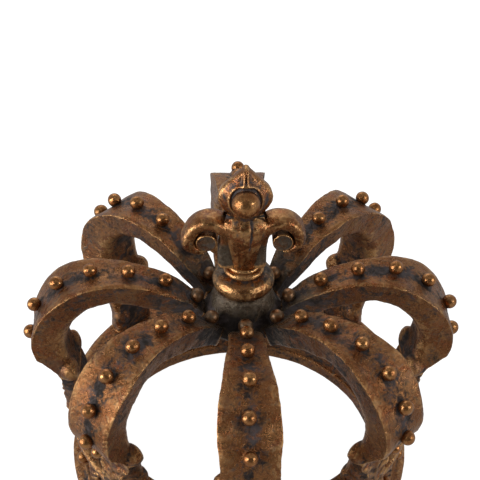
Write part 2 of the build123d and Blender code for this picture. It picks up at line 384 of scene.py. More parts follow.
def bronze(name, roughness, grit):
    """Brown bronze: purple-black staining in hollows, darkened also by painted shade that the mesh values
    carry, grey-green wash, and gold where it is worn or carries a painted highlight.

    roughness is that of clean metal, and grit scales the depth of the fine pitting.
    """
    n = Nodes(name)
    broad = n.noise(42, 3, 0.55, 0.5)
    medium = n.noise(150, 4, 0.62, 0.7)
    fine = n.noise(520, 4, 0.72)
    grain = n.noise(1500, 2, 0.6)
    streak = n.noise(85, 5, 0.7, 1.4)
    brown = n.mix(n.ramp(broad, 0.36, 0.64), (0.220, 0.082, 0.029), (0.310, 0.140, 0.054))
    brown = n.mix(n.ramp(streak, 0.52, 0.66, 0.0, 0.8), brown, (0.30, 0.092, 0.034))
    brown = n.mix(n.ramp(medium, 0.50, 0.66, 0.0, 0.85), brown, (0.43, 0.210, 0.080))
    brown = n.mix(n.ramp(fine, 0.53, 0.66, 0.0, 0.80), brown, (0.075, 0.030, 0.015))
    brown = n.mix(n.ramp(grain, 0.57, 0.70, 0.0, 0.65), brown, (0.55, 0.32, 0.15))
    purple = n.ramp(n.noise(60, 4, 0.6, 0.8), 0.52, 0.66, 0.0, 0.45)
    brown = n.mix(purple, brown, (0.150, 0.088, 0.070))
    relief = n.value("relief")
    # The dark mix is partly painted shade: the mesh values it reads hold shade at bead feet, inner faces and
    # near the hub, as well as grime.
    stain_and_shade = n.math("ADD", n.value("grime_and_shade"), n.math("MULTIPLY", relief, -1.6))
    stain_and_shade = n.ramp(n.speckled(stain_and_shade, (medium, 0.55), (fine, 0.42)), 0.12, 1.15)
    dirt_and_shade = n.mix(n.ramp(streak, 0.42, 0.6), (0.022, 0.015, 0.012), (0.075, 0.059, 0.058))
    wash = n.ramp(n.speckled(n.value("green"), (medium, 0.34)), 0.30, 1.10, 0.0, 0.9)
    grey_green = n.mix(n.ramp(fine, 0.35, 0.65), (0.066, 0.056, 0.040), (0.165, 0.140, 0.104))
    # The gold mix is partly painted highlight: the mesh values it reads hold gold on the camera-facing
    # fronts of collars and curls, as well as worn edges.
    wear_and_sheen = n.math("ADD", n.math("MULTIPLY", relief, 1.5), n.value("rub_and_sheen"))
    wear_and_sheen = n.ramp(n.speckled(wear_and_sheen, (medium, 0.45), (fine, 0.50)), 0.35, 1.05)
    colour = n.mix(wash, brown, grey_green)
    colour = n.mix(wear_and_sheen, colour, (0.58, 0.315, 0.130))
    colour = n.mix(stain_and_shade, colour, dirt_and_shade)
    metal = n.math("SUBTRACT", 0.94, n.math("MULTIPLY", stain_and_shade, 0.62))
    metal = n.math("SUBTRACT", metal, n.math("MULTIPLY", wash, 0.35), clamp=True)
    gloss = n.math("ADD", n.math("MULTIPLY", wear_and_sheen, -0.05), roughness)
    gloss = n.math("ADD", gloss, n.math("MULTIPLY", stain_and_shade, 0.20))
    gloss = n.math("ADD", gloss, n.ramp(medium, 0.35, 0.65, -0.07, 0.07), clamp=True)
    fill(n.shader, {"Specular IOR Level": 0.3})
    layers = (medium, 0.0012 * grit), (fine, 0.0006 * grit), (grain, 0.00016 * grit)
    return n.finish(colour, metal, gloss, *layers)


def bead_metal():
    """Polished copper gold with brown left in its pits, and painted shade round its foot."""
    n = Nodes("bead_gold")
    medium = n.noise(230, 3, 0.6)
    fine = n.noise(900, 3, 0.65)
    gold = n.mix(n.ramp(medium, 0.35, 0.65), (0.31, 0.125, 0.044), (0.48, 0.235, 0.088))
    # The dark mix is mostly painted shade at the foot of each bead, with some grime.
    stain_and_shade = n.ramp(n.speckled(n.value("grime_and_shade"), (medium, 0.34), (fine, 0.24)), 0.20, 1.0)
    wash = n.ramp(n.speckled(n.value("green"), (medium, 0.25)), 0.2, 0.95)
    colour = n.mix(stain_and_shade, gold, (0.055, 0.022, 0.012))
    colour = n.mix(n.math("MULTIPLY", wash, 0.85), colour, (0.115, 0.090, 0.064))
    metal = n.math("SUBTRACT", 0.95, n.math("MULTIPLY", stain_and_shade, 0.45))
    metal = n.math("SUBTRACT", metal, n.math("MULTIPLY", wash, 0.35), clamp=True)
    gloss = n.math("ADD", n.math("MULTIPLY", stain_and_shade, 0.20), 0.27)
    gloss = n.math("ADD", gloss, n.math("MULTIPLY", wash, 0.15))
    gloss = n.math("ADD", gloss, n.ramp(fine, 0.35, 0.7, -0.04, 0.08), clamp=True)
    return n.finish(colour, metal, gloss, (medium, 0.0005), (fine, 0.00015))


def steel():
    """Dull zinc plating."""
    n = Nodes("zinc")
    spangle = n.noise(420, 3, 0.6)
    colour = n.mix(n.ramp(spangle, 0.35, 0.65), (0.30, 0.30, 0.29), (0.46, 0.45, 0.43))
    return n.finish(colour, 0.9, n.ramp(spangle, 0.3, 0.7, 0.34, 0.5), (spangle, 0.0001))


BRONZE = bronze("antique_bronze", 0.31, 1.0)
POLISHED = bronze("rubbed_bronze", 0.29, 0.5)
BEAD = bead_metal()
ZINC = steel()


# ---- arches and feet -------------------------------------------------
def polar(centre, radius, angle):
    return np.array([centre[0] + radius * cos(radians(angle)), centre[1] + radius * sin(radians(angle))])


def arc(centre, radius, start, end):
    count = max(3, int(abs(radians(end - start)) * radius / 0.25))
    a = np.radians(np.linspace(start, end, count))
    return np.stack([centre[0] + radius * np.cos(a), centre[1] + radius * np.sin(a)], 1)


def arch_line():
    """Side view of the outer face of the arch and foot: distance, point and outward normal."""
    shoulder = polar(CROWN_CENTRE, CROWN_R - SHOULDER_R, CROWN_JOIN_ANGLE)
    tuck = (CROWN_CENTRE[0] + CROWN_R - TUCK_R, CROWN_CENTRE[1])
    slope_start = polar(tuck, TUCK_R, -TUCK_ANGLE)
    slope_end = polar(slope_start, TUCK_SLOPE, -90 - TUCK_ANGLE)
    heel = polar(slope_end, HEEL_R, -TUCK_ANGLE)
    line = np.concatenate([
        arc(shoulder, SHOULDER_R, SHOULDER_START_ANGLE, CROWN_JOIN_ANGLE),
        arc(CROWN_CENTRE, CROWN_R, CROWN_JOIN_ANGLE, 0),
        arc(tuck, TUCK_R, 0, -TUCK_ANGLE),
        np.linspace(slope_start, slope_end, 30),
        arc(heel, HEEL_R, 180 - TUCK_ANGLE, 180),
        np.linspace((heel[0] - HEEL_R, heel[1]), (heel[0] - HEEL_R, FOOT_BOTTOM_Z), 60),
    ])
    line = line[np.concatenate([[True], np.linalg.norm(np.diff(line, axis=0), axis=1) > 1e-6])]
    even = np.arange(0, distances(line)[-1], 0.55)
    p = along(line, even)
    return even, p, side_normals(p)


LINE_S, LINE_P, LINE_N = arch_line()
# Lengths along the face: the shoulder, the crown and the tuck down to the lip above the foot.
SHOULDER_LENGTH = radians(SHOULDER_START_ANGLE - CROWN_JOIN_ANGLE) * SHOULDER_R
CROWN_LENGTH = radians(CROWN_JOIN_ANGLE) * CROWN_R
TUCK_LENGTH = radians(TUCK_ANGLE) * TUCK_R
LIP_AT = SHOULDER_LENGTH + CROWN_LENGTH + TUCK_LENGTH
END_AT = LINE_S[-1]
START_AT = 17.0
# Height at which the arch ends and the foot begins, and how far the two run into each other.
JOIN_Z = 78.0
JOIN_OVERLAP = 0.6
JOIN_AT = LINE_S[np.argmax((LINE_P[:, 1] < JOIN_Z) & (LINE_S > LIP_AT))]

# Inner face of the arch and foot in side view, each point with its place along the outer face.
INNER_FACE = (
    (0, 12.0, 94.0), (21, 30.0, 112.0), (44, 52.0, 124.4), (77, 76.5, 131.0), (97, 89.5, 126.4),
    (113, 97.2, 119.0), (130, 101.2, 110.0), (149, 102.6, 101.0), (160, 102.0, 93.0), (170, 99.6, 85.2),
    (178, 96.4, 77.6), (188, 93.4, 70.0), (198, 91.2, 60.0), (210, 90.4, 46.0), (214, 90.4, 42.0),
)


def inner_line():
    table = np.array(INNER_FACE)
    return np.stack([softened(np.interp(LINE_S, table[:, 0], table[:, k]), 14) for k in (1, 2)], 1)


INNER_P = inner_line()

# Hand-made differences: share of the usual width, and degrees off the even spacing, by azimuth.
NARROWER = {315: 0.965}
LEANING = {315: -0.5}

# Half-width at the face, half-way through and at the inner face, by distance along the outer face.
WIDTHS = (
    (16, 6.4, 5.8, 5.0), (28, 7.0, 6.4, 5.6), (33, 8.4, 7.6, 6.8), (38, 9.4, 8.6, 7.4), (46, 9.9, 9.2, 8.0),
    (58, 10.6, 9.8, 8.6), (71, 11.9, 10.9, 9.4), (82, 13.2, 12.0, 10.4), (95, 15.0, 13.6, 11.8),
    (102, 16.3, 14.8, 12.6), (111, 17.3, 15.7, 13.3), (117, 17.3, 15.8, 13.4), (124, 17.1, 15.8, 13.2),
    (131, 16.5, 15.2, 13.2), (139, 16.2, 15.0, 13.4), (152, 16.4, 15.0, 13.8), (LIP_AT, 16.6, 15.4, 14.2),
    (165, 16.4, 15.2, 14.4), (172, 15.8, 15.0, 14.4), (182, 15.2, 15.0, 14.4), (187, 13.6, 14.8, 14.0),
    (192, 9.6, 14.2, 13.2), (198, 7.8, 13.4, 12.4), (206, 7.4, 13.2, 12.4), (216, 8.4, 14.2, 13.2),
)
# Knobs on both sides of the foot: place in side view, distance from the middle, radius.
KNOBS = ((101.2, 81.8, 12.0, 6.9), (94.5, 57.5, 9.4, 5.9))
# Depth of the dish of the face, and roundness of the inner corners, by distance along the face.
DISH = (
    (17, 0.2), (34, 0.6), (50, 1.0), (70, 1.1), (90, 0.7), (110, 0.4), (135, 1.0), (157, 1.2), (162, 0.4),
    (250, 0),
)
CORNER = ((17, 1.6), (45, 2.2), (80, 3.2), (105, 5.6), (125, 6.6), (150, 5.6), (220, 4.0))
FACE_COLUMNS = 49


def bead_places():
    """(distance along the arch face, centre, outward normal) of each bead of one arch, side view."""
    places = []
    shoulder_run = SHOULDER_LENGTH * (SHOULDER_R + BEAD_PROUD) / SHOULDER_R
    crown_run = CROWN_LENGTH * (CROWN_R + BEAD_PROUD) / CROWN_R
    for i in range(BEAD_COUNT):
        run = FIRST_BEAD_DISTANCE + i * BEAD_PITCH
        if run < shoulder_run:
            s = run * SHOULDER_R / (SHOULDER_R + BEAD_PROUD)
        elif run < shoulder_run + crown_run:
            s = SHOULDER_LENGTH + (run - shoulder_run) * CROWN_R / (CROWN_R + BEAD_PROUD)
        else:
            over = run - shoulder_run - crown_run
            s = SHOULDER_LENGTH + CROWN_LENGTH + over * TUCK_R / (TUCK_R + BEAD_PROUD)
        k = np.searchsorted(LINE_S, s)
        proud = LAST_BEAD_PROUD if i == BEAD_COUNT - 1 else BEAD_PROUD
        places.append((s, LINE_P[k] + proud * LINE_N[k], LINE_N[k]))
    return places


BEADS = bead_places()


def half_width(s, depth):
    """Half-width of the arch or foot at a share of its depth."""
    at, *columns = np.array(WIDTHS).T
    outer, middle, inner = (softened(np.interp(s[:, 0], at, column), 5)[:, None] for column in columns)
    near, far = (1 - depth) * (1 - 2 * depth), depth * (2 * depth - 1)
    return outer * near + 4 * middle * depth * (1 - depth) + inner * far


def with_knobs(v, x, z):
    """Distance of the side surface from the middle, pushed out to the knobs where they are."""
    for cx, cz, cv, radius in KNOBS:
        away = (x - cx) ** 2 + (z - cz) ** 2
        knob = cv + np.sqrt(np.maximum(radius ** 2 - away, 0)) - 9 * (away > radius ** 2)
        v = np.logaddexp(v * 1.4, knob * 1.4) / 1.4
    return v


def leaf_relief(v, z, low, high, half):
    """Height from 0 to 1 of a carved leaf: a midrib, side veins and a scalloped edge."""
    t = np.clip((z - low) / (high - low), 0, 1)
    reach = half * np.sin(pi * np.clip(t, 0.02, 0.98)) ** 0.6
    reach = reach * (0.86 + 0.14 * np.cos(2 * pi * 5 * t))
    across = np.abs(v) / np.maximum(reach, 0.5)
    body = 1 - smooth(across, 0.82, 1.05)
    ribs = 0.5 + 0.5 * np.cos(2 * pi * (t * 6.0 - 0.9 * np.abs(v) / half))
    midrib = bump(v, 0, 1.5)
    return body * np.clip(0.35 + 0.45 * ribs * (1 - midrib) + 0.55 * midrib - 0.25 * across ** 2, 0, 1)


def face_relief(s, v, z, u, seed):
    """Height of the face over its plain shape, and what lies where.

    The arch is dished, worn along the row of beads and rimmed round each bead; the foot is carved.
    """
    below = smooth(s, LIP_AT - 0.2, LIP_AT + 1.0)
    on_foot = smooth(s, LIP_AT + 9, LIP_AT + 13)
    rise = table_value(s, DISH) * np.clip(np.abs(u), 0, 1) ** 2 * (1 - smooth(np.abs(u), 0.82, 1.0))
    rise = rise + 0.6 * bump(s, LIP_AT - 1.2, 2.0)
    rise = rise - 1.9 * below * (1 - 0.6 * smooth(s, 174, 182)) * (1 - smooth(np.abs(u), 0.55, 0.95))
    gap = np.min([np.hypot(s - bead[0], v) for bead in BEADS], axis=0)
    field = np.stack([s + 0 * v, v * 0.9, 0 * v + seed * 13.1], -1).reshape(-1, 3)
    wrinkle = rough(field, 3.4, seed + 3, 2).reshape(v.shape)
    broad = noise(field, 9, seed + 5).reshape(v.shape)
    trough = np.exp(-(v / 6.0) ** 2) * (1 - below)
    rise = rise - trough * (0.15 + 0.60 * wrinkle * smooth(broad, -0.3, 0.6))
    rise = rise + 0.45 * (1 - below) * bump(gap, 2.6, 1.4)
    leaf = leaf_relief(v + 1.2 * broad, z + 1.5 * wrinkle, 47, 83, 14.5) * on_foot
    rise = rise + 1.7 * leaf + 0.8 * wrinkle * on_foot
    return rise, {"gap": gap, "leaf": leaf, "broad": broad}


def sweep(first, last, azimuth, seed):
    """Rings of the arch or foot between two distances along the outer face, and what lies where."""
    keep = (LINE_S >= first) & (LINE_S <= last)
    s, p, n, q = LINE_S[keep][:, None], LINE_P[keep], LINE_N[keep], INNER_P[keep]
    thick = np.linalg.norm(p - q, axis=1)[:, None]
    corner = table_value(s, CORNER)
    # one ring: the face, down one side, round the inner corner, across the back and up again
    face_u = np.linspace(-1, 1, FACE_COLUMNS)[None]
    side_t = np.concatenate([[0.0, 0.03, 0.07], np.linspace(0.13, 1, 13)])[None]
    turn_a = np.radians(np.linspace(11, 79, 6))[None]
    back_u = np.linspace(0.93, -0.93, 19)[None]
    side_depth = 0.3 / thick + side_t * (1 - (corner + 0.3) / thick)
    turn_depth = 1 + corner / thick * (np.sin(turn_a) - 1)
    flank_depth = np.concatenate([side_depth, turn_depth], 1)
    ones = 1 + 0 * s
    depth = np.concatenate([0 * face_u * ones, flank_depth, 0 * back_u * ones + 1, flank_depth[:, ::-1]], 1)
    face = ones * (np.arange(depth.shape[1]) < FACE_COLUMNS)
    x = p[:, :1] + (q[:, :1] - p[:, :1]) * depth
    z = p[:, 1:] + (q[:, 1:] - p[:, 1:]) * depth
    w = half_width(s, depth) * NARROWER.get(azimuth, 1)
    flank = slice(FACE_COLUMNS, FACE_COLUMNS + flank_depth.shape[1])
    inset = np.concatenate([0 * side_depth, corner * (np.cos(turn_a) - 1)], 1)
    flank_v = with_knobs(w[:, flank] + inset, x[:, flank], z[:, flank])
    face_v, back_v = face_u * w[:, :FACE_COLUMNS], back_u * flank_v[:, -1:]
    v = np.concatenate([face_v, flank_v, back_v, -flank_v[:, ::-1]], 1)
    # the back is half rounded round the knobs
    for cx, cz, cv, radius in KNOBS:
        room = radius ** 2 - (z - cz) ** 2 - (np.abs(v) - cv) ** 2
        rounded = np.minimum(x, cx - np.sqrt(np.maximum(room, 0)))
        x = np.where((depth > 0.9) & (room > 0), 0.5 * (x + rounded), x)
    # both edges waver
    for side in (-1, 1):
        key = np.stack([s[:, 0], 0 * s[:, 0] + 40 * side, 0 * s[:, 0] + 9.7 * seed], 1)
        wave = 0.40 * noise(key, 10, seed) + 0.16 * noise(key, 3.2, seed + 1)
        v = v + side * np.where(v * side > 0.7 * w, wave[:, None], 0)
    u = v / w
    rise, marks = face_relief(s, v, z, u, seed)
    push = (face + np.exp(-(depth * thick / 1.2) ** 2) * (1 - face)) * rise
    x = x + n[:, :1] * push
    z = z + n[:, 1:] * push
    rings = turn(np.stack([x, v, z], -1), azimuth + LEANING.get(azimuth, 0))
    info = {"s": s + 0 * v, "v": v, "u": u, "depth": depth, "face": face, "x": x, "z": z, **marks}
    return rings, {key: capped_points(value[..., None])[:, 0] for key, value in info.items()}


def arch_paint(i, verts, seed):
    """Where dark staining, painted shade, rubbed gold and grey-green wash lie on an arch or foot."""
    cloud = rough(verts, 17, seed + 11, 3)
    spots = rough(verts, 5, seed + 12, 2)
    u, face, side = np.abs(i["u"]), i["face"], 1 - i["face"]
    inner = smooth(i["depth"], 0.85, 0.98)
    top = smooth(i["z"], 112, 132)
    low = 1 - smooth(i["z"], 90, 104)
    foot = 1 - smooth(i["z"], 78, 86)
    root = 1 - smooth(i["x"], 22, 37)
    line = np.exp(-((i["v"] - 1.5 * i["broad"]) / 5.0) ** 2) * smooth(i["broad"] + 0.6 * spots, -0.3, 0.7)
    # The row of beads has real grime down it; the ring round each bead foot, where the bead overhangs, is
    # painted shade and grime.
    grime_and_shade = face * (0.80 * line + 0.50 * bump(i["gap"], 3.6, 1.3) * smooth(spots, -0.5, 0.3))
    grime_and_shade = grime_and_shade * (1 - 0.8 * low) + 0.30 * face * smooth(cloud, 0.15, 0.6)
    # Side faces are darker all over, partly mottled staining and partly painted shade; the inner face gets
    # painted shade.
    grime_and_shade = grime_and_shade + side * (0.20 + 0.60 * cloud + 0.45 * top * smooth(spots, -0.4, 0.4)) + 0.42 * inner
    # Painted shade near the hub, most on the side faces where the arches crowd together.
    grime_and_shade = grime_and_shade + root * (0.25 + 0.95 * side) + 0.45 * side * (1 - smooth(i["x"], 34, 60))
    grime_and_shade = grime_and_shade + foot * (0.38 + 0.3 * cloud - 0.5 * face * smooth(i["leaf"], 0.2, 0.8))
    grime_and_shade = grime_and_shade + 0.50 * face * (1 - smooth(u, 0.15, 0.85)) * (1 - 0.7 * low)
    edge = smooth(cloud + 0.4 * spots, -0.5, 0.5) * smooth(u, 0.1, 0.75)
    rub_and_sheen = face * (0.34 * bump(i["s"], 118, 26) + 0.80 * low) * edge
    # No gold near the hub, where the painted shade lies.
    rub_and_sheen = rub_and_sheen + face * 0.20 * smooth(u, 0.90, 1.0) * (1 - root) - 1.3 * root
    rub_and_sheen = rub_and_sheen + side * 0.45 * (1 - top) * smooth(cloud, -0.3, 0.5) * (1 - 0.8 * inner)
    rub_and_sheen = rub_and_sheen + foot * face * 0.35 * smooth(i["leaf"], 0.45, 0.9)
    green = 1.0 - smooth(i["x"] + 6 * cloud, 26, 64) + side * 0.35 * top * smooth(spots + cloud, -0.4, 0.6)
    return {"grime_and_shade": np.clip(grime_and_shade, 0, 1.3), "rub_and_sheen": rub_and_sheen, "green": np.clip(green, 0, 1)}


def build_strap(name, node, first, last, azimuth, pits, seed):
    """An arch or a foot: a strap between two distances along its outer face."""
    rings, info = sweep(first, last, azimuth, seed)
    verts = capped_points(rings)
    piece(name, verts, ring_faces(*rings.shape[:2]), BRONZE, [node],
          paint=arch_paint(info, verts, seed), pits=pits, seed=seed)


def build_arch_beads(name, azimuth, seed):
    """Row of beads on one arch, with painted shade at the foot where each sits on the arch, and grey-green
    next to the hub.
    """
    parts, grime_and_shade, green = [], [], []
    for k, (_, centre, normal) in enumerate(BEADS):
        rng = np.random.default_rng(seed * 50 + k)
        points, faces = ball(BEAD_R, stretch=1 + 0.03 * rng.standard_normal(3))
        height = points[:, 0] * normal[0] + points[:, 2] * normal[1]
        points = points + [centre[0], 0.35 * rng.standard_normal(), centre[1]]
        parts.append((turn(points, azimuth), faces))
        # Painted shade on the half of each bead that faces the arch.
        grime_and_shade.append(1.15 * (1 - smooth(height, -3.6, -0.2)) + 0.18 * rng.random())
        green.append(np.full(len(points), (0.62, 0.25, 0.0)[min(k, 2)]))
    verts, faces = joined(parts)
    piece("beads_" + name, verts, faces, BEAD, ["arch_beads_" + name],
          paint={"grime_and_shade": np.concatenate(grime_and_shade), "green": np.concatenate(green)},
          dents=0.10, pits=0.05, seed=seed + 90)


# ---- circlet ---------------------------------------------------------
# Outlines of the mouldings in side view: piece, CAD node, outline, seed.
MOULDINGS = (
    ("foot_moulding", "lower_rim",
     [(82.8, 0.8), (84, 0), (102.6, 0), (104, 1.4), (104, 4.4), (101.6, 6.2), (99.4, 6.6), (98.4, 8.6),
      (96, 9), (84.4, 9), (82.8, 8)], 81),
    ("top_moulding", "upper_rim",
     [(84, 40), (85.2, 39), (98.6, 39), (99.6, 40.6), (102.6, 41.2), (104, 43), (103.6, 45.2), (101.6, 46),
      (86, 46), (84, 44.8)], 83),
)
RIB_COUNT = 48
# Beads on the circlet's wall, and small beads under the lip of each arch: see build_bead_ring.
BAND_BEADS = (
    "circlet_beads", "band_beads", 24, 4.0, 0.03, (18, 28), (99.0, 0, 20.0), (1, 0), (-3.4, -0.6), 900, 93,
)
HEEL_BEADS = (
    "under_lip_beads", "heel_beads", 8, 3.2, 0.04, (16, 24), (117.0, 0, 87.2), (0.74, -0.67), (-2.4, -0.2),
    500, 95,
)


def build_circlet():
    wall = loop([(84.0, 7.5), (95.2, 7.5), (95.2, 41), (84.0, 41)], step=0.8, rounds=1)
    verts, faces = lathe(wall, 720)
    r = np.hypot(verts[:, 0], verts[:, 1])
    outside = smooth(r, 94.0, 95.0)
    ribs = np.abs(np.cos(np.arctan2(verts[:, 0], -verts[:, 1]) * RIB_COUNT / 2))
    swell = outside * (0.9 * ribs * bump(verts[:, 2], 31, 8) - 0.35)
    grow = (r + swell) / r
    verts = verts * np.stack([grow, grow, 1 + 0 * grow], 1)
    cloud = rough(verts, 12, 71, 3)
    grime_and_shade = np.clip(0.45 + 0.4 * cloud - 0.35 * outside * ribs, 0, 1.1)
    rub_and_sheen = 0.35 * outside * ribs + 0.22 * (1 - outside) * smooth(cloud, -0.1, 0.6)
    piece("circlet_wall", verts, faces, BRONZE, ["circlet_band"],
          paint={"grime_and_shade": grime_and_shade, "rub_and_sheen": rub_and_sheen, "green": 0.25 * outside}, dents=0.4, pits=0.16, seed=70)

    for name, node, outline, seed in MOULDINGS:
        verts, faces = lathe(loop(outline, step=0.62, rounds=1), 720)
        outside = smooth(np.hypot(verts[:, 0], verts[:, 1]), 97, 101)
        grime_and_shade = np.clip(0.42 - 0.3 * outside + 0.4 * rough(verts, 12, seed, 3), 0, 1)
        piece(name, verts, faces, BRONZE, [node],
              paint={"grime_and_shade": grime_and_shade, "rub_and_sheen": 0.32 * outside}, dents=0.3, pits=0.12, seed=seed)


def build_band_leaves():
    """Pointed leaves on the circlet between the feet."""
    parts, grime_and_shade, rub_and_sheen = [], [], []
    for _, azimuth in SIDES:
        t = np.linspace(0.0, 1.0, 56)
        z = 10.8 + 26.4 * t
        half = 8.2 * np.sin(pi * np.clip(t, 0.015, 0.985) ** 0.85) ** 0.75
        half = half * (0.9 + 0.1 * np.cos(2 * pi * 4.5 * t))
        around = loop([(-1, 0), (1, 0), (1, 1), (-1, 1)], step=0.07, rounds=2)
        v = half[:, None] * around[None, :, 0]
        depth = np.broadcast_to(around[None, :, 1], v.shape)
        zz = np.broadcast_to(z[:, None], v.shape)
        front = smooth(1 - depth, 0.8, 0.99)
        across = np.abs(around[None, :, 0])
        veins = 0.5 + 0.5 * np.cos(2 * pi * (t[:, None] * 5.5 - 0.8 * across))
        height = 2.4 * (1 - 0.75 * across ** 2) + 0.8 * bump(v, 0, 1.1) + 0.7 * veins * (1 - bump(v, 0, 1.3))
        radius = 95.6 + front * height - 1.6 * depth
        lean = np.arctan2(v, radius)
        points = turn(np.stack([radius * np.cos(lean), radius * np.sin(lean), zz], -1), azimuth + 22.5)
        parts.append((capped_points(points), ring_faces(len(t), points.shape[1])))
        extra = capped_points(np.stack([front, veins, np.broadcast_to(across, v.shape)], -1))
        grime_and_shade.append(0.75 - 0.6 * extra[:, 0] * extra[:, 1])
        rub_and_sheen.append(0.45 * extra[:, 0] * extra[:, 1])
    verts, faces = joined(parts)
    piece("circlet_leaves", verts, faces, BRONZE, ["band_leaves"],
          paint={"grime_and_shade": np.concatenate(grime_and_shade), "rub_and_sheen": np.concatenate(rub_and_sheen), "green": 0.45},
          dents=0.15, pits=0.1, seed=97)


def build_bead_ring(name, node, count, radius, uneven, mesh, place, outward_xz, fade, first_seed, seed):
    """Evenly spaced beads with painted shade at the foot; fade is where that painted shade ends, along the
    outward line.
    """
    parts, grime_and_shade = [], []
    for i in range(count):
        rng = np.random.default_rng(first_seed + i)
        points, faces = ball(radius, *mesh, stretch=1 + uneven * rng.standard_normal(3))
        height = points[:, 0] * outward_xz[0] + points[:, 2] * outward_xz[1]
        # Painted shade on the side of each bead that faces the surface it sits on.
        grime_and_shade.append(1.1 * (1 - smooth(height, *fade)))
        parts.append((turn(points + place, 360 / count * i), faces))
    verts, faces = joined(parts)
    piece(name, verts, faces, BEAD, [node],
          paint={"grime_and_shade": np.concatenate(grime_and_shade)}, dents=0.10, pits=0.05, seed=seed)


# ---- hub and collars -------------------------------------------------
def build_hub():
    outline = [(3.0, 112), (23.0, 112), (24.0, 113.5), (24.0, 117), (22.5, 120.0), (20.4, 122.6),
               (19.0, 125.5), (18.2, 129.0), (17.2, 132), (16.0, 134.8), (14.6, 136), (3.0, 136)]
    verts, faces = lathe(loop(outline, step=0.6, rounds=3), 300)
    z = verts[:, 2]
    # Painted shade low on the hub, where the arch roots crowd round it, and at the top under the collar,
    # with some grime.
    grime_and_shade = 1.25 * (1 - smooth(z, 121, 130)) + 0.12 + 0.3 * rough(verts, 9, 61, 3) + 0.5 * smooth(z, 132, 135)
    piece("hub_boss", verts, faces, BRONZE, ["hub"],
          paint={"grime_and_shade": np.clip(grime_and_shade, 0, 1.2), "green": 1.25, "rub_and_sheen": -0.6}, dents=0.3, pits=0.08, seed=60)


# Outlines of the collars in side view: piece, CAD node, outline, seed.
COLLARS = (
    ("collar_torus", "collar_lower",
     [(3.0, 136), (12.5, 136), (15.2, 136.6), (17.1, 138.6), (17.9, 141.4), (17.5, 144.2), (15.8, 146.6),
      (13.4, 147.8), (10.8, 148), (3.0, 148)], 51),
    ("collar_ring", "collar_middle",
     [(3.0, 147.4), (9.6, 147.4), (10.6, 148.2), (11.5, 149.1), (11.7, 150.2), (11.0, 151.4), (9.4, 152.2),
      (3.0, 152.2)], 53),
    ("collar_bead_ring", "collar_upper",
     [(3.0, 152.0), (8.6, 152.0), (9.2, 152.6), (10.0, 153.0), (10.1, 153.7), (9.4, 154.6), (8.2, 155),
      (3.0, 155)], 55),
)


def build_collars():
    for name, node, outline, seed in COLLARS:
        verts, faces = lathe(loop(outline, step=0.45, rounds=2), 260)
        low, high = verts[:, 2].min(), verts[:, 2].max()
        t = (verts[:, 2] - low) / (high - low)
        cloud = rough(verts, 6, seed, 3)
        # The front, facing the camera and the front lamps, gets gold and less grime: a painted highlight.
        # The back and sides get more grime and grey-green wash: painted shade.
        front = smooth(-verts[:, 1] / np.hypot(verts[:, 0], verts[:, 1]) + 0.3 * cloud, 0.1, 0.95)
        grime_and_shade = 0.95 * bump(t, 1.0, 0.16) + 0.9 * bump(t, 0.0, 0.12) + 0.15 + 0.45 * cloud - 0.35 * front
        rub_and_sheen = (0.44 * front - 0.08) * bump(t, 0.45, 0.42)
        green = 1.1 * (1 - front) * smooth(t, 0.0, 0.4)
        piece(name, verts, faces, POLISHED, [node],
              paint={"grime_and_shade": np.clip(grime_and_shade, 0, 1.1), "rub_and_sheen": rub_and_sheen, "green": green},
              dents=0.22, pits=0.08, seed=seed)


# ---- finial ----------------------------------------------------------
# By height: half-width of the petals, how far their faces swell out, and their thickness.
PETAL_HALF = (
    (154, 6.6), (158, 6.7), (163, 7.2), (170, 8.6), (176, 10.4), (181, 12.0), (185, 12.4), (189.2, 10.6),
)
PETAL_SWELL = ((154, 0.4), (158, 0.2), (167, 0.9), (176, 1.7), (184, 0.9), (187, -1.2), (190, -4.6))
PETAL_DEPTH = ((154, 2.4), (160, 3.6), (168, 4.9), (189, 4.9))


def build_petals():
    """Petals up the front and back of the stem, widening to the top, with a fold down each."""
    z = np.linspace(154.6, 190.0, 100)[:, None]
    around = loop([(-1, 0), (1, 0), (1, 1), (-1, 1)], step=0.05, rounds=2)
    u, depth = around[None, :, 0], around[None, :, 1]
    v = table_value(z, PETAL_HALF) * u
    front = smooth(1 - depth, 0.6, 0.99)
    swell = table_value(z, PETAL_SWELL)
    groove = bump(u, 0.30, 0.07) * smooth(z, 165, 175)
    face = swell - swell * u ** 2 * (swell > 0) - 0.8 * groove - 0.35 * bump(u, -0.35, 0.12)
    y = 4.4 + table_value(z, PETAL_DEPTH) * (1 - depth) + front * face
    y = y - (1 - depth) * (2.0 + 1.6 * smooth(z, 168, 180)) * np.abs(u) ** 2.6
    front, groove, height = capped_points(np.stack([front + 0 * v, groove, z + 0 * v], -1)).T
    for name, node, facing, seed in (
        ("petal_front_leaf", "petal_front", -1, 41), ("petal_back_leaf", "petal_back", 1, 43),
    ):
        points = np.stack([v, facing * y, z + 0 * v], -1)
        verts = capped_points(points)
        cloud = rough(verts, 7, seed, 3)
        grime_and_shade = 0.55 * bump(height, 155.0, 2.2) + 0.7 * groove + 0.06 + 0.30 * cloud
        # The top of each petal, under the bud, is darkened: a painted shadow of the bud.
        grime_and_shade = grime_and_shade + 0.45 * (1 - front) + 0.25 * smooth(height, 181, 187)
        piece(name, verts, ring_faces(*points.shape[:2]), POLISHED, [node],
              paint={"grime_and_shade": np.clip(grime_and_shade, 0, 1.1), "rub_and_sheen": front * (0.30 + 0.25 * cloud)},
              dents=0.22, pits=0.12, seed=seed)


